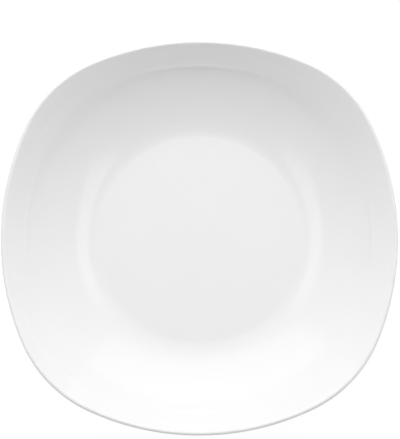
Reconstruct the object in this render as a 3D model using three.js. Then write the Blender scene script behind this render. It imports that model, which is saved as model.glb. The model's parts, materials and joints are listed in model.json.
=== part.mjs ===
// A rounded-square soup plate in glazed porcelain, in millimetres, with +Z up.
// The origin is the centre of the circle that the foot ring stands on, in the plane of the table.
// Every surface is a turned profile. The well is round up to its crease. From there the rim runs on
// up its own slope to the rounded square of the lip, so the lip stands highest at its corners.

import * as THREE from 'three';

// Outline of the lip, seen from above: four side arcs joined by four corner arcs
const WIDTH = 210;
const SIDE_RADIUS = 135;
const CORNER_RADIUS = 72;

// Finished height from the table to the top of the lip, at the middle of a side
const HEIGHT = 35;

// Well: a flat round floor that sweeps up into the wall
const FLOOR_RADIUS = 57;
const FLOOR_THICKNESS = 4.4;
const COVE_REACH = 7;
const WALL_REACH = 12;

// Rim: a straight band that leaves the wall at a soft crease
const RIM_WIDTH = 12.5;
const RIM_RISE = 10;
const CREASE_BREAK = THREE.MathUtils.degToRad(2);
const LIP_THICKNESS = 1.8;

// Foot ring under the edge of the floor, wiped bare where it stands
const FOOT_RADIUS = 60;
const FOOT_WIDTH = 5;
const FOOT_HEIGHT = 3;
const FOOT_ROUND = 1;
const FOOT_FILLET = 1;
const BARE_BAND = 0.4;

// Glaze
const GLAZE_THICKNESS = 0.3;

// Fineness of the facets
const SEGMENTS = 64;
const WALL_STEPS = 9;
const LIP_STEPS = 6;
const FOOT_STEPS = 3;

const clay = new THREE.MeshStandardMaterial({ color: 0xefece5, roughness: 0.75, metalness: 0 });
const glaze = new THREE.MeshStandardMaterial({ color: 0xf3f3f1, roughness: 0.08, metalness: 0 });

const point = (radius, height) => new THREE.Vector2(radius, height);

// Distance from the axis to the lip in a direction, measured in the plan view
function outlineRadius(angle) {
  const quarter = Math.PI / 2;
  const fold = Math.abs(angle - quarter * Math.round(angle / quarter));
  const sideOffset = SIDE_RADIUS - WIDTH / 2;
  const reach = SIDE_RADIUS - CORNER_RADIUS;
  const corner = (Math.sqrt(2 * reach ** 2 - sideOffset ** 2) - sideOffset) / 2;
  const bearing = Math.atan2(corner, corner + sideOffset);
  const joint = Math.atan2(SIDE_RADIUS * Math.sin(bearing), SIDE_RADIUS * Math.cos(bearing) - sideOffset);
  if (fold < joint) {
    const chord = Math.sqrt(SIDE_RADIUS ** 2 - (sideOffset * Math.sin(fold)) ** 2);
    return chord - sideOffset * Math.cos(fold);
  }
  const along = corner * (Math.cos(fold) + Math.sin(fold));
  const across = corner * (Math.cos(fold) - Math.sin(fold));
  return along + Math.sqrt(CORNER_RADIUS ** 2 - across ** 2);
}

// Draws a turned surface out and up along the slope of the rim,
// from not at all at the crease to the whole way where the round of the lip starts
function squareOff(geometry) {
  const places = geometry.attributes.position;
  for (let i = 0; i < places.count; i += 1) {
    const x = places.getX(i);
    const y = places.getY(i);
    const radius = Math.hypot(x, y);
    if (radius > crease.x) {
      const share = Math.min((radius - crease.x) / (lipStart.x - crease.x), 1);
      const growth = share * (outlineRadius(Math.atan2(y, x)) - WIDTH / 2);
      const stretch = 1 + growth / radius;
      places.setXYZ(i, x * stretch, y * stretch, places.getZ(i) + growth * Math.tan(rimSlope));
    }
  }
  return geometry;
}

// A profile that starts and ends on the axis, turned about it and squared off.
// Walked from its lower end to its upper end, it gives a solid that faces outwards.
function turned(profile) {
  return squareOff(new THREE.LatheGeometry(profile, SEGMENTS).rotateX(Math.PI / 2));
}

// A solid whose profile is walked from its upper end down, faced outwards afterwards. Its facets are then
// split along the same diagonals as those of a coat that lies on it, so the two meet without a gap.
function turnedDownwards(profile) {
  const geometry = turned(profile);
  return geometry.setIndex(Array.from(geometry.index.array).reverse());
}

// A line moved sideways, to its left, with its corners kept at the same distance
function offset(line, distance) {
  return line.map((corner, i) => {
    const before = line[Math.max(i - 1, 0)];
    const after = line[Math.min(i + 1, line.length - 1)];
    const arriving = (i > 0 ? corner.clone().sub(before) : after.clone().sub(corner)).normalize();
    const leaving = (after === corner ? arriving.clone() : after.clone().sub(corner)).normalize();
    const side = point(-arriving.y - leaving.y, arriving.x + leaving.x).normalize();
    const spread = side.dot(point(-arriving.y, arriving.x));
    return corner.clone().addScaledVector(side, distance / spread);
  });
}

// A quarter bend from one point to another, rounding the corner between them
const bend = (from, corner, to) => new THREE.QuadraticBezierCurve(from, corner, to).getPoints(FOOT_STEPS);

// Height of a line at a radius that it crosses
function heightAt(line, radius) {
  const next = line.findIndex((place) => place.x <= radius);
  const outer = line[next - 1];
  const inner = line[next];
  return THREE.MathUtils.mapLinear(radius, outer.x, inner.x, outer.y, inner.y);
}

// Clay profile in the direction of a side's middle, in the order that it is walked:
// out over the well, round the lip, back under the wall to the foot ring
const floorTop = FOOT_HEIGHT + FLOOR_THICKNESS;
const lipRound = LIP_THICKNESS / 2;
const lipCentre = point(WIDTH / 2 - GLAZE_THICKNESS - lipRound, HEIGHT - GLAZE_THICKNESS - lipRound);
const crease = point(WIDTH / 2 - RIM_WIDTH, HEIGHT - RIM_RISE);
const toLip = lipCentre.clone().sub(crease);
const rimSlope = toLip.angle() + Math.asin(lipRound / toLip.length());
const wallSlope = rimSlope + CREASE_BREAK;

const wallCurve = new THREE.CubicBezierCurve(
  point(FLOOR_RADIUS, floorTop),
  point(FLOOR_RADIUS + COVE_REACH, floorTop),
  point(crease.x - WALL_REACH * Math.cos(wallSlope), crease.y - WALL_REACH * Math.sin(wallSlope)),
  crease,
);

const lipArc = [];
for (let i = 0; i <= LIP_STEPS; i += 1) {
  const turn = rimSlope + Math.PI / 2 - (Math.PI * i) / LIP_STEPS;
  lipArc.push(point(lipCentre.x + lipRound * Math.cos(turn), lipCentre.y + lipRound * Math.sin(turn)));
}

const wallLine = wallCurve.getPoints(WALL_STEPS);
const wellLine = [point(0, floorTop), ...wallLine];

// Underside of the floor and wall: as thick as the floor at its edge, thinning towards the lip
const lipStart = lipArc[0];
const underWall = wallLine.map((place, i) => {
  const slope = i < WALL_STEPS ? wallCurve.getTangent(i / WALL_STEPS).angle() : wallSlope - CREASE_BREAK / 2;
  const thickness = THREE.MathUtils.mapLinear(
    place.x, FLOOR_RADIUS, lipStart.x, FLOOR_THICKNESS, LIP_THICKNESS,
  );
  return point(place.x + thickness * Math.sin(slope), place.y - thickness * Math.cos(slope));
});
const underLine = [...underWall.reverse(), point(0, FOOT_HEIGHT)];

// Foot ring
const footInner = FOOT_RADIUS - FOOT_WIDTH;
const footRound = Math.min(FOOT_ROUND, FOOT_WIDTH / 3);
const bareTop = footRound + BARE_BAND;
const fillet = Math.min(FOOT_FILLET, (FOOT_HEIGHT - bareTop) / 2);
const filletStart = FOOT_RADIUS + fillet;
const filletTop = heightAt(underLine, FOOT_RADIUS);

const coatedLine = [
  ...wellLine,
  ...lipArc,
  ...underLine.filter((place) => place.x > filletStart),
  ...bend(
    point(filletStart, heightAt(underLine, filletStart)),
    point(FOOT_RADIUS, filletTop),
    point(FOOT_RADIUS, filletTop - fillet),
  ),
  point(FOOT_RADIUS, bareTop),
];
const bareLine = [
  ...bend(point(FOOT_RADIUS, footRound), point(FOOT_RADIUS, 0), point(FOOT_RADIUS - footRound, 0)),
  ...bend(point(footInner + footRound, 0), point(footInner, 0), point(footInner, footRound)),
];
const recessLine = [
  point(footInner, bareTop),
  ...bend(
    point(footInner, FOOT_HEIGHT - fillet),
    point(footInner, FOOT_HEIGHT),
    point(footInner - fillet, FOOT_HEIGHT),
  ),
  point(0, FOOT_HEIGHT),
];

function piece(name, geometry, material) {
  const mesh = new THREE.Mesh(geometry, material);
  mesh.name = name;
  return mesh;
}

// Pressed and fired clay, in one with its foot ring
function makeBody() {
  return piece('porcelain_body', turnedDownwards([...coatedLine, ...bareLine, ...recessLine]), clay);
}

// One skin of glaze over the well, the lip and the underside, down to the bare foot
function makeGlazeCoat() {
  const skin = [...coatedLine, ...offset(coatedLine, GLAZE_THICKNESS).reverse()];
  return piece('glaze_coat', turned(skin), glaze);
}

// The glaze inside the foot ring, which the bare foot parts from the rest
function makeRecessGlaze() {
  const skin = [...offset(recessLine, GLAZE_THICKNESS).reverse(), ...recessLine];
  return piece('recess_glaze', turned(skin), glaze);
}

const plate = new THREE.Group();
plate.add(makeBody(), makeGlazeCoat(), makeRecessGlaze());

export default plate;
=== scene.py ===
import json
import math

import bpy
import numpy as np
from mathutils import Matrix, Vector


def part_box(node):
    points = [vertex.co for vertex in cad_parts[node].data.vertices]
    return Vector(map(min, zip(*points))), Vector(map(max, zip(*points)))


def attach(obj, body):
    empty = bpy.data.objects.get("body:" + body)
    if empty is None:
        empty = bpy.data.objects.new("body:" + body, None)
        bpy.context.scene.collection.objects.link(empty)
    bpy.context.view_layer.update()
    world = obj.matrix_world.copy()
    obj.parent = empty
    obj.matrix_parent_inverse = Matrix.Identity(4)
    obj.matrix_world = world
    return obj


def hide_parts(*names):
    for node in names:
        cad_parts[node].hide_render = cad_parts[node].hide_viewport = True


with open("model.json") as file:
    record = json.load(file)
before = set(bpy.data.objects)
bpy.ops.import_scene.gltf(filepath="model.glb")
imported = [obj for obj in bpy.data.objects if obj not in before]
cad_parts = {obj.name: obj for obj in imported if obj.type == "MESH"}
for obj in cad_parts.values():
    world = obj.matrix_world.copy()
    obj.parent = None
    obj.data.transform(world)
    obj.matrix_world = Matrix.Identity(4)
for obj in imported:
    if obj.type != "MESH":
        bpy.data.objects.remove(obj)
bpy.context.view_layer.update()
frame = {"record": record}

# Sizes in metres. What the solids show is read from the frame, and the rest repeats the part's source,
# apart from the eased crease, the rings and the straying edge of the glaze, which only this scene has.
MM = 0.001
coat_low, coat_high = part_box("glaze_coat")
recess_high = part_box("recess_glaze")[1]
mounts = {mount["name"]: Vector(mount["pos_m"]) for mount in frame["record"]["mounts"]}

HALF_WIDTH = coat_high.x
HEIGHT = 35 * MM
SIDE_RADIUS = 135 * MM
CORNER_RADIUS = 72 * MM

GLAZE = 0.3 * MM
FLOOR_TOP = mounts["well_floor"].z - GLAZE
FLOOR_RADIUS = 57 * MM
COVE_REACH = 7 * MM
WALL_REACH = 12 * MM

RIM_WIDTH = 12.5 * MM
RIM_RISE = 10 * MM
CREASE_BREAK = math.radians(2)
CREASE_EASE = 1.5 * MM
LIP_ROUND = 0.9 * MM

# Rings on the rim: a soft ridge just outside the crease, which fades and strays outwards between the middles
# of the sides, and a faint groove
RING_WIDTH = 1.1 * MM
RIDGE_HEIGHT = 0.21 * MM
RIDGE_PLACE = 0.4 * MM
RIDGE_STRAY = 0.7
RIDGE_LEAST = 0.25
RIDGE_SPAN = math.radians(14)
GROOVE_DEPTH = 0.06 * MM
GROOVE_RADIUS = 101 * MM

FOOT_INNER = recess_high.x
FOOT_WIDTH = 5 * MM
FOOT_OUTER = FOOT_INNER + FOOT_WIDTH
FOOT_HEIGHT = 3 * MM
FOOT_ROUND = 1 * MM
FOOT_FILLET = 0.8 * MM
BARE_TOP = coat_low.z

# The wiped edge of the glaze strays in waves, each with its count round the plate, its start and its share.
# They die out over a span up the glaze, outside the foot ring and inside it.
GLAZE_EDGE_WANDER = 0.12 * MM
GLAZE_EDGE_WAVES = ((5, 0.4, 0.5), (11, 1.9, 0.3), (23, 0.7, 0.2))
COAT_EDGE_SPAN = 4 * GLAZE
RECESS_EDGE_SPAN = 3 * GLAZE

# Fineness of the meshes
SEGMENTS = 192
WALL_STEPS = 48
BEND_STEPS = 12
EASE_STEPS = 2 * BEND_STEPS
RIM_POINTS = 3 * BEND_STEPS
ROLL_STEPS = BEND_STEPS // 2
LIP_STEPS = 24
FLOOR_RINGS = 8
LEAST_STEP = 0.002 * MM

# Colours of the glaze and of the bare clay, how deep their waves and grain are, and their refractive index
GLAZE_WHITE_LOW = (0.850, 0.850, 0.850)
GLAZE_WHITE_HIGH = (0.868, 0.868, 0.868)
GLAZE_POOLED = (0.855, 0.856, 0.859)
GLAZE_WAVES = 0.05 * MM
GLAZE_PEEL = 0.002 * MM
BARE_DARK = (0.70, 0.68, 0.64)
BARE_LIGHT = (0.82, 0.80, 0.76)
BARE_SCUFF = (0.52, 0.51, 0.49)
BARE_GRAIN = 0.02 * MM
IOR = 1.5

# Radii between which the pooled glaze gathers, and between which it thins out again
POOL_RISE = (56 * MM, 62 * MM)
POOL_FALL = (64 * MM, 74 * MM)

# Noise fields of the glaze and of the bare clay, in features per metre
MOTTLE_SCALE = 60
SHEEN_SCALE = 140
WAVES_SCALE = 32
PEEL_SCALE = 420
GRAIN_SCALE = 2600
PATCHES_SCALE = 90

# Spans of those fields that count, and the roughness and strength that they give
SHEEN_SPAN = (0.3, 0.7)
GLAZE_ROUGHNESS = (0.02, 0.05)
SPECKS_SPAN = (0.35, 0.65)
SCUFFS_SPAN = (0.52, 0.72)
SCUFFS_STRENGTH = (0, 0.35)
GRAIN_SPAN = (0.3, 0.7)
BARE_ROUGHNESS = (0.55, 0.8)

# Camera, with its focal length in pixels of the picture
IMAGE_HEIGHT = 439
SENSOR = 36
FOCAL_PIXELS = 947.3
CAMERA_ELEVATION = math.radians(84)
CAMERA_DISTANCE = 500 * MM
CAMERA_AIM = Vector((0.37 * MM, 7.12 * MM, HEIGHT))
CLIP_START = 10 * MM

# Stage floor, with the share of its white that a shadow can take away
FLOOR_SIZE = 6.0
FLOOR_GREY = 0.6
SHADOW_SHARE = 0.12

# Light from all round, with how much it gains towards +X, +Y and +Z, and the share of the gain towards +Z
# that reaches a level floor
WORLD_LEVEL = 0.69
WORLD_LEAN = (-0.004, 0.219, -0.184)
FLOOR_LEAN_SHARE = 2 / 3

# An upright panel behind the plate, and two long strips overhead to its left and right
PANEL_BEARING = math.radians(-3.5)
PANEL_DISTANCE = 1.2
PANEL_CENTRE_HEIGHT = 1.05
PANEL_WIDTH = 2.06
PANEL_HEIGHT = 1.5
PANEL_BRIGHTNESS = 0.95
PANEL_FADES = (0.015, 0.25)
STRIP_SIDE = 0.82
STRIP_BACK = 0.08
STRIP_HEIGHT = 1.5
STRIP_WIDTH = 0.5
STRIP_LENGTH = 1.75
STRIP_BRIGHTNESS = 1.2
STRIP_FADES = (0.12, 0.3)

# A soft box close behind the plate, which reflections leave out
KEY_PLACE = Vector((0, 0.45, 0.45))
KEY_SIZE = 0.4
KEY_BRIGHTNESS = 5.0
KEY_FADES = (0.3, 0.3)

# The rim's straight band in the direction of a side's middle, from the crease to the round of the lip
CREASE = np.array([HALF_WIDTH - RIM_WIDTH, HEIGHT - RIM_RISE])
LIP_CENTRE = np.array([HALF_WIDTH, HEIGHT]) - GLAZE - LIP_ROUND
RIM_LENGTH = np.linalg.norm(LIP_CENTRE - CREASE)
RIM_SLOPE = math.atan2(*(LIP_CENTRE - CREASE)[::-1]) + math.asin(LIP_ROUND / RIM_LENGTH)
LIP_START = LIP_CENTRE[0] - LIP_ROUND * math.sin(RIM_SLOPE)


def bezier(points, steps):
    """Points along a Bezier curve with three or four control points."""
    share = np.linspace(0, 1, steps + 1)[:, None]
    line = [np.asarray(p, float) for p in points]
    while len(line) > 1:
        line = [a + (b - a) * share for a, b in zip(line, line[1:])]
    return line[0]


def arc(centre, radius, start, end, steps):
    """Points along a circle's arc, between two angles."""
    turn = np.linspace(start, end, steps + 1)
    return np.column_stack([centre[0] + radius * np.cos(turn), centre[1] + radius * np.sin(turn)])


def along(line):
    """The direction of a line at each of its points."""
    steps = np.diff(line, axis=0)
    steps /= np.linalg.norm(steps, axis=1)[:, None]
    middle = steps[:-1] + steps[1:]
    middle /= np.linalg.norm(middle, axis=1)[:, None]
    return np.vstack([steps[:1], middle, steps[-1:]])


def offset(line, distance):
    """A line moved to its left, by one distance or by one for each point."""
    direction = along(line)
    left = np.column_stack([-direction[:, 1], direction[:, 0]])
    return line + left * np.reshape(distance, (-1, 1))


def distinct(line):
    """Which points of a line don't repeat the one before."""
    gaps = np.linalg.norm(np.diff(line, axis=0), axis=1)
    return np.concatenate([[True], gaps > LEAST_STEP])


def from_side(angle):
    """The angle between a direction and the nearest side's middle, seen from above."""
    quarter = math.pi / 2
    return np.abs(angle - quarter * np.round(angle / quarter))


def outline_radius(angle):
    """Distance from the axis to the lip in a direction, seen from above."""
    fold = from_side(angle)
    side_offset = SIDE_RADIUS - HALF_WIDTH
    reach = SIDE_RADIUS - CORNER_RADIUS
    corner = (math.sqrt(2 * reach ** 2 - side_offset ** 2) - side_offset) / 2
    bearing = math.atan2(corner, corner + side_offset)
    joint = math.atan2(SIDE_RADIUS * math.sin(bearing), SIDE_RADIUS * math.cos(bearing) - side_offset)
    side = np.sqrt(SIDE_RADIUS ** 2 - (side_offset * np.sin(fold)) ** 2) - side_offset * np.cos(fold)
    across = corner * (np.cos(fold) - np.sin(fold))
    rounded = corner * (np.cos(fold) + np.sin(fold)) + np.sqrt(CORNER_RADIUS ** 2 - across ** 2)
    return np.where(fold < joint, side, rounded)


def clay_lines():
    """The clay's profile along a side's middle: the glazed line from the axis over the lip to the foot,
    the bare line round the foot, and the glazed line inside the foot ring, back to the axis."""
    wall_slope = RIM_SLOPE + CREASE_BREAK
    rim_way = np.array([math.cos(RIM_SLOPE), math.sin(RIM_SLOPE)])
    wall_way = np.array([math.cos(wall_slope), math.sin(wall_slope)])

    floor_radii = np.linspace(0, FLOOR_RADIUS, FLOOR_RINGS + 1)
    floor = np.column_stack([floor_radii, np.full_like(floor_radii, FLOOR_TOP)])
    wall = bezier([(FLOOR_RADIUS, FLOOR_TOP), (FLOOR_RADIUS + COVE_REACH, FLOOR_TOP),
                   CREASE - WALL_REACH * wall_way, CREASE], WALL_STEPS)
    wall = wall[np.linalg.norm(wall - CREASE, axis=1) > CREASE_EASE]
    ease_end = CREASE + CREASE_EASE * rim_way
    handle = np.linalg.norm(ease_end - wall[-1]) / 3
    ease = bezier([wall[-1], wall[-1] + handle * along(wall)[-1], ease_end - handle * rim_way, ease_end],
                  EASE_STEPS)
    lip = arc(LIP_CENTRE, LIP_ROUND, RIM_SLOPE + math.pi / 2, RIM_SLOPE - math.pi / 2, LIP_STEPS)
    rim = np.linspace(ease_end, lip[0], RIM_POINTS)

    upper = np.vstack([wall, ease, rim])
    upper = upper[distinct(upper)]
    floor_thickness = FLOOR_TOP - FOOT_HEIGHT
    thickness = np.interp(upper[:, 0], [FLOOR_RADIUS, lip[0, 0]], [floor_thickness, 2 * LIP_ROUND])
    under = offset(upper, -thickness)
    fillet_start = FOOT_OUTER + FOOT_FILLET
    start_height, top_height = np.interp([fillet_start, FOOT_OUTER], under[:, 0], under[:, 1])
    fillet = bezier([(fillet_start, start_height), (FOOT_OUTER, top_height),
                     (FOOT_OUTER, top_height - FOOT_FILLET)], BEND_STEPS)
    under = under[under[:, 0] > fillet_start][::-1]
    coated = np.vstack([floor, upper, lip, under, fillet, [(FOOT_OUTER, BARE_TOP)]])
    on_top = np.arange(len(coated)) < len(floor) + len(upper)
    kept = distinct(coated)

    bare = np.vstack([
        [(FOOT_OUTER, BARE_TOP)],
        arc((FOOT_OUTER - FOOT_ROUND, FOOT_ROUND), FOOT_ROUND, 0, -math.pi / 2, BEND_STEPS),
        arc((FOOT_INNER + FOOT_ROUND, FOOT_ROUND), FOOT_ROUND, -math.pi / 2, -math.pi, BEND_STEPS),
        [(FOOT_INNER, BARE_TOP)],
    ])
    bend_centre = (FOOT_INNER - FOOT_FILLET, FOOT_HEIGHT - FOOT_FILLET)
    recess_bend = arc(bend_centre, FOOT_FILLET, 0, math.pi / 2, BEND_STEPS)
    recess_radii = np.linspace(FOOT_INNER - FOOT_FILLET, 0, FLOOR_RINGS + 1)
    recess_floor = np.column_stack([recess_radii, np.full_like(recess_radii, FOOT_HEIGHT)])
    recess = np.vstack([[(FOOT_INNER, BARE_TOP)], recess_bend, recess_floor])
    return coated[kept], on_top[kept], bare[distinct(bare)], recess[distinct(recess)]


def rolled_edge(clay_end, side):
    """The edge of a skin on the foot, rolled over to meet the clay. side is 1 outside the ring, -1 inside."""
    corner = clay_end + (side * GLAZE, 0)
    return bezier([corner + (0, GLAZE), corner, clay_end], ROLL_STEPS)


def rings(radius, angle):
    """How far the upper side stands out at places on it, given from above."""
    firm = RIDGE_LEAST + (1 - RIDGE_LEAST) * np.exp(-(from_side(angle) / RIDGE_SPAN) ** 2)
    ridge_radius = CREASE[0] + RIDGE_PLACE + RIDGE_STRAY * (outline_radius(angle) - HALF_WIDTH)
    ridge = RIDGE_HEIGHT * firm * np.exp(-((radius - ridge_radius) / RING_WIDTH) ** 2)
    groove = GROOVE_DEPTH * np.exp(-((radius - GROOVE_RADIUS) / RING_WIDTH) ** 2)
    return ridge - groove


def edge_wander(angle):
    """How far the wiped edge of the glaze strays up and down the foot, at an angle round the plate."""
    waves = (share * np.sin(count * angle + start) for count, start, share in GLAZE_EDGE_WAVES)
    return GLAZE_EDGE_WANDER * sum(waves)


def turned(name, line, on_top=None, wander=None):
    """A closed mesh: a profile from axis to axis, turned about it and drawn out and up to the lip's corners.
    on_top tells which points lie on the upper side, which has the rings. wander holds the share of the
    glaze edge's straying that each point takes."""
    angle = np.arange(SEGMENTS) * 2 * math.pi / SEGMENTS
    drawn = np.interp(line[:, :1], [CREASE[0], LIP_START], [0, 1]) * (outline_radius(angle) - HALF_WIDTH)
    radius = line[:, :1] + drawn
    height = line[:, 1:] + drawn * math.tan(RIM_SLOPE)
    if on_top is not None:
        relief = on_top[:, None] * rings(radius, angle)
        radius = radius - relief * math.sin(RIM_SLOPE)
        height = height + relief * math.cos(RIM_SLOPE)
    if wander is not None:
        height = height + wander[:, None] * edge_wander(angle)
    places, loops = [], []
    for i, on_axis in enumerate(line[:, 0] < LEAST_STEP):
        if on_axis:
            loops.append([len(places)])
            places.append((0, 0, line[i, 1]))
        else:
            loops.append(list(range(len(places), len(places) + SEGMENTS)))
            places += zip(radius[i] * np.cos(angle), radius[i] * np.sin(angle), height[i])
    faces = []
    for loop, following in zip(loops, loops[1:]):
        for i in range(SEGMENTS):
            j = (i + 1) % SEGMENTS
            if len(loop) == 1:
                faces.append((loop[0], following[i], following[j]))
            elif len(following) == 1:
                faces.append((loop[i], following[0], loop[j]))
            else:
                faces.append((loop[i], following[i], following[j], loop[j]))
    mesh = bpy.data.meshes.new(name)
    mesh.from_pydata(places, [], faces)
    mesh.polygons.foreach_set("use_smooth", [True] * len(mesh.polygons))
    mesh.update()
    piece = bpy.data.objects.new(name, mesh)
    bpy.context.scene.collection.objects.link(piece)
    return piece


# Materials


def new_material(name):
    material = bpy.data.materials.new(name)
    material.use_nodes = True
    return material, material.node_tree.nodes, material.node_tree.links


def noise(nodes, links, coordinates, scale, detail=2.0, roughness=0.5):
    """A noise field in the object's own coordinates, with scale in features per metre."""
    node = nodes.new("ShaderNodeTexNoise")
    node.inputs["Scale"].default_value = scale
    node.inputs["Detail"].default_value = detail
    node.inputs["Roughness"].default_value = roughness
    links.new(coordinates, node.inputs["Vector"])
    return node.outputs["Fac"]


def remap(nodes, links, value, span, to_span, smooth=False):
    """A value moved from one span to another, whose ends it doesn't pass."""
    node = nodes.new("ShaderNodeMapRange")
    node.interpolation_type = "SMOOTHSTEP" if smooth else "LINEAR"
    for socket, number in zip(("From Min", "From Max", "To Min", "To Max"), (*span, *to_span)):
        node.inputs[socket].default_value = number
    links.new(value, node.inputs["Value"])
    return node.outputs["Result"]


def product(nodes, links, first, second):
    node = nodes.new("ShaderNodeMath")
    node.operation = "MULTIPLY"
    links.new(first, node.inputs[0])
    links.new(second, node.inputs[1])
    return node.outputs["Value"]


def mixed_colour(nodes, links, share, first, second):
    """A colour between two, each a plain colour or another node's output."""
    node = nodes.new("ShaderNodeMix")
    node.data_type = "RGBA"
    # The node's sockets for colours share their names with those for other types, so they go by number
    first_socket, second_socket = node.inputs[6], node.inputs[7]
    result = node.outputs[2]
    links.new(share, node.inputs["Factor"])
    for socket, colour in ((first_socket, first), (second_socket, second)):
        if isinstance(colour, tuple):
            socket.default_value = (*colour, 1)
        else:
            links.new(colour, socket)
    return result


def bumped(nodes, links, height, distance, before=None):
    node = nodes.new("ShaderNodeBump")
    node.inputs["Distance"].default_value = distance
    links.new(height, node.inputs["Height"])
    if before is not None:
        links.new(before, node.inputs["Normal"])
    return node.outputs["Normal"]


def glaze_material():
    """Clear gloss glaze over white porcelain: faintly wavy, and a touch bluer where it pools in the cove."""
    material, nodes, links = new_material("glaze")
    shader = nodes["Principled BSDF"]
    coordinates = nodes.new("ShaderNodeTexCoord").outputs["Object"]
    flat = nodes.new("ShaderNodeVectorMath")
    flat.operation = "MULTIPLY"
    flat.inputs[1].default_value = (1, 1, 0)
    links.new(coordinates, flat.inputs[0])
    length = nodes.new("ShaderNodeVectorMath")
    length.operation = "LENGTH"
    links.new(flat.outputs["Vector"], length.inputs[0])
    radius = length.outputs["Value"]

    rising = remap(nodes, links, radius, POOL_RISE, (0, 1), smooth=True)
    falling = remap(nodes, links, radius, POOL_FALL, (1, 0), smooth=True)
    pooled = product(nodes, links, rising, falling)
    mottle = noise(nodes, links, coordinates, MOTTLE_SCALE, detail=3)
    white = mixed_colour(nodes, links, mottle, GLAZE_WHITE_LOW, GLAZE_WHITE_HIGH)
    links.new(mixed_colour(nodes, links, pooled, white, GLAZE_POOLED), shader.inputs["Base Color"])

    sheen = noise(nodes, links, coordinates, SHEEN_SCALE, detail=4)
    links.new(remap(nodes, links, sheen, SHEEN_SPAN, GLAZE_ROUGHNESS), shader.inputs["Roughness"])
    waves = noise(nodes, links, coordinates, WAVES_SCALE, detail=1)
    peel = noise(nodes, links, coordinates, PEEL_SCALE, detail=2)
    wavy = bumped(nodes, links, waves, GLAZE_WAVES)
    links.new(bumped(nodes, links, peel, GLAZE_PEEL, before=wavy), shader.inputs["Normal"])
    shader.inputs["IOR"].default_value = IOR
    return material


def porcelain_material():
    """Bare fired porcelain: matt, off-white and finely grained, with faint grey scuffs from standing."""
    material, nodes, links = new_material("bare_porcelain")
    shader = nodes["Principled BSDF"]
    coordinates = nodes.new("ShaderNodeTexCoord").outputs["Object"]
    grain = noise(nodes, links, coordinates, GRAIN_SCALE, detail=4, roughness=0.6)
    patches = noise(nodes, links, coordinates, PATCHES_SCALE, detail=4)
    specks = remap(nodes, links, grain, SPECKS_SPAN, (0, 1))
    plain = mixed_colour(nodes, links, specks, BARE_DARK, BARE_LIGHT)
    scuffs = remap(nodes, links, patches, SCUFFS_SPAN, SCUFFS_STRENGTH, smooth=True)
    links.new(mixed_colour(nodes, links, scuffs, plain, BARE_SCUFF), shader.inputs["Base Color"])
    links.new(remap(nodes, links, grain, GRAIN_SPAN, BARE_ROUGHNESS), shader.inputs["Roughness"])
    links.new(bumped(nodes, links, grain, BARE_GRAIN), shader.inputs["Normal"])
    shader.inputs["IOR"].default_value = IOR
    return material


# The three pieces


def make_body(coated, on_top, bare, recess, material):
    line = np.vstack([coated, bare[1:], recess[1:]])
    above = np.zeros(len(line), bool)
    above[:len(on_top)] = on_top
    body = turned("porcelain_body_smooth", line[::-1], above[::-1])
    body.data.materials.append(material)
    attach(body, "root")
    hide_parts("porcelain_body")


def make_coat(coated, on_top, material):
    skin = offset(coated, GLAZE)
    skin[0, 0] = 0
    kept = skin[:, 1] > BARE_TOP + GLAZE
    roll = rolled_edge(coated[-1], 1)[-2::-1]
    line = np.vstack([coated, roll, skin[kept][::-1]])
    above = np.concatenate([on_top, np.zeros(len(roll), bool), on_top[kept][::-1]])
    wander = np.interp(line[:, 1], [BARE_TOP, BARE_TOP + COAT_EDGE_SPAN], [1, 0])
    coat = turned("glaze_coat_smooth", line, above, wander)
    coat.data.materials.append(material)
    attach(coat, "root")
    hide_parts("glaze_coat")


def make_recess(recess, material):
    skin = offset(recess, GLAZE)
    skin[-1, 0] = 0
    kept = skin[:, 1] > BARE_TOP + GLAZE
    roll = rolled_edge(recess[0], -1)[:-1]
    line = np.vstack([skin[kept][::-1], roll, recess])
    wander = np.interp(line[:, 1], [BARE_TOP, BARE_TOP + RECESS_EDGE_SPAN], [1, 0])
    glaze = turned("recess_glaze_smooth", line, wander=wander)
    glaze.data.materials.append(material)
    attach(glaze, "root")
    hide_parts("recess_glaze")


coated_line, on_top, bare_line, recess_line = clay_lines()
glaze = glaze_material()
make_body(coated_line, on_top, bare_line, recess_line, porcelain_material())
make_coat(coated_line, on_top, glaze)
make_recess(recess_line, glaze)


# Camera at the photograph's viewing angle


def make_camera():
    data = bpy.data.cameras.new("camera")
    data.sensor_width = SENSOR
    data.lens = FOCAL_PIXELS * SENSOR / IMAGE_HEIGHT
    data.clip_start = CLIP_START
    camera = bpy.data.objects.new("camera", data)
    bpy.context.scene.collection.objects.link(camera)
    rim_centre = Vector((0, 0, HEIGHT))
    back = Vector((0, -math.cos(CAMERA_ELEVATION), math.sin(CAMERA_ELEVATION)))
    camera.location = rim_centre + CAMERA_DISTANCE * back
    camera.rotation_euler = (CAMERA_AIM - camera.location).to_track_quat("-Z", "Y").to_euler()
    bpy.context.scene.camera = camera


# Floor, background and lights


def seen_directly(nodes, links):
    """1 for rays that show the background: from the camera, in reflections and through clear things."""
    path = nodes.new("ShaderNodeLightPath")
    share = path.outputs["Is Camera Ray"]
    for name in ("Is Glossy Ray", "Is Transmission Ray"):
        node = nodes.new("ShaderNodeMath")
        node.operation = "MAXIMUM"
        links.new(share, node.inputs[0])
        links.new(path.outputs[name], node.inputs[1])
        share = node.outputs["Value"]
    return share


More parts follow.
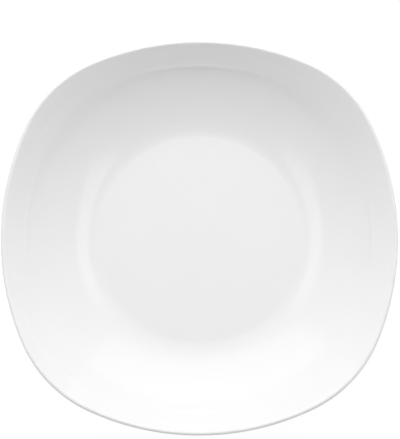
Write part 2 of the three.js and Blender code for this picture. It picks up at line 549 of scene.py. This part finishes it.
def make_floor():
    """A floor that is grey in the light it throws on the plate.
    Where it shows, it is white under open light."""
    open_light = WORLD_LEVEL + FLOOR_LEAN_SHARE * WORLD_LEAN[2]
    material, nodes, links = new_material("stage_floor")
    nodes.remove(nodes["Principled BSDF"])
    lit = nodes.new("ShaderNodeBsdfDiffuse")
    lit.inputs["Color"].default_value = (FLOOR_GREY, FLOOR_GREY, FLOOR_GREY, 1)
    glow = nodes.new("ShaderNodeEmission")
    glow.inputs["Strength"].default_value = 1 - SHADOW_SHARE * open_light
    shade = nodes.new("ShaderNodeBsdfDiffuse")
    shade.inputs["Color"].default_value = (SHADOW_SHARE, SHADOW_SHARE, SHADOW_SHARE, 1)
    backdrop = nodes.new("ShaderNodeAddShader")
    links.new(glow.outputs["Emission"], backdrop.inputs[0])
    links.new(shade.outputs["BSDF"], backdrop.inputs[1])
    either = nodes.new("ShaderNodeMixShader")
    links.new(seen_directly(nodes, links), either.inputs["Fac"])
    links.new(lit.outputs["BSDF"], either.inputs[1])
    links.new(backdrop.outputs["Shader"], either.inputs[2])
    links.new(either.outputs["Shader"], nodes["Material Output"].inputs["Surface"])

    half = FLOOR_SIZE / 2
    corners = [(-half, -half, 0), (half, -half, 0), (half, half, 0), (-half, half, 0)]
    mesh = bpy.data.meshes.new("stage_floor")
    mesh.from_pydata(corners, [], [(0, 1, 2, 3)])
    mesh.materials.append(material)
    floor = bpy.data.objects.new("stage_floor", mesh)
    bpy.context.scene.collection.objects.link(floor)


def make_world():
    """Soft light from all round, brighter from the back and dimmer from above.
    Where the background shows, it is white."""
    world = bpy.data.worlds.new("studio")
    world.use_nodes = True
    bpy.context.scene.world = world
    nodes, links = world.node_tree.nodes, world.node_tree.links
    ambient = nodes["Background"]
    ambient.inputs["Color"].default_value = (1, 1, 1, 1)
    lean = nodes.new("ShaderNodeVectorMath")
    lean.operation = "DOT_PRODUCT"
    lean.inputs[1].default_value = WORLD_LEAN
    links.new(nodes.new("ShaderNodeTexCoord").outputs["Generated"], lean.inputs[0])
    level = nodes.new("ShaderNodeMath")
    level.operation = "ADD"
    level.inputs[1].default_value = WORLD_LEVEL
    links.new(lean.outputs["Value"], level.inputs[0])
    links.new(level.outputs["Value"], ambient.inputs["Strength"])
    backdrop = nodes.new("ShaderNodeBackground")
    backdrop.inputs["Color"].default_value = (1, 1, 1, 1)
    backdrop.inputs["Strength"].default_value = 1
    either = nodes.new("ShaderNodeMixShader")
    links.new(seen_directly(nodes, links), either.inputs["Fac"])
    links.new(ambient.outputs["Background"], either.inputs[1])
    links.new(backdrop.outputs["Background"], either.inputs[2])
    links.new(either.outputs["Shader"], nodes["World Output"].inputs["Surface"])


def soft_light(name, centre, facing, width, height, brightness, fades):
    """A rectangular soft box that fades out near its edges, over a share of its width and of its height.
    Brightness 1 is as bright as the white background, which it adds to in reflections."""
    data = bpy.data.lights.new(name, "AREA")
    data.shape = "RECTANGLE"
    data.size = width
    data.size_y = height
    # With this power, an emission strength of 1 is a radiance of 1
    data.energy = math.pi * width * height
    data.use_nodes = True
    nodes, links = data.node_tree.nodes, data.node_tree.links
    across = nodes.new("ShaderNodeSeparateXYZ")
    links.new(nodes.new("ShaderNodeNewGeometry").outputs["Parametric"], across.inputs["Vector"])
    shares = []
    for axis, fade in zip("XY", fades):
        rising = remap(nodes, links, across.outputs[axis], (0, fade), (0, 1), smooth=True)
        falling = remap(nodes, links, across.outputs[axis], (1 - fade, 1), (1, 0), smooth=True)
        shares.append(product(nodes, links, rising, falling))
    strength = remap(nodes, links, product(nodes, links, *shares), (0, 1), (0, brightness))
    links.new(strength, nodes["Emission"].inputs["Strength"])
    light = bpy.data.objects.new(name, data)
    bpy.context.scene.collection.objects.link(light)
    light.location = centre
    light.rotation_euler = Vector(facing).to_track_quat("-Z", "Y").to_euler()
    light.visible_camera = False
    return light


def make_lights():
    back = Vector((math.sin(PANEL_BEARING), math.cos(PANEL_BEARING), 0))
    soft_light("back_panel", back * PANEL_DISTANCE + Vector((0, 0, PANEL_CENTRE_HEIGHT)), -back,
               PANEL_WIDTH, PANEL_HEIGHT, PANEL_BRIGHTNESS, PANEL_FADES)
    for name, side in (("left_strip", -STRIP_SIDE), ("right_strip", STRIP_SIDE)):
        soft_light(name, (side, STRIP_BACK, STRIP_HEIGHT), (0, 0, -1),
                   STRIP_WIDTH, STRIP_LENGTH, STRIP_BRIGHTNESS, STRIP_FADES)
    key = soft_light("key_box", KEY_PLACE, -KEY_PLACE, KEY_SIZE, KEY_SIZE, KEY_BRIGHTNESS, KEY_FADES)
    key.visible_glossy = False


make_camera()
make_floor()
make_world()
make_lights()
bpy.context.scene.view_settings.view_transform = "Standard"
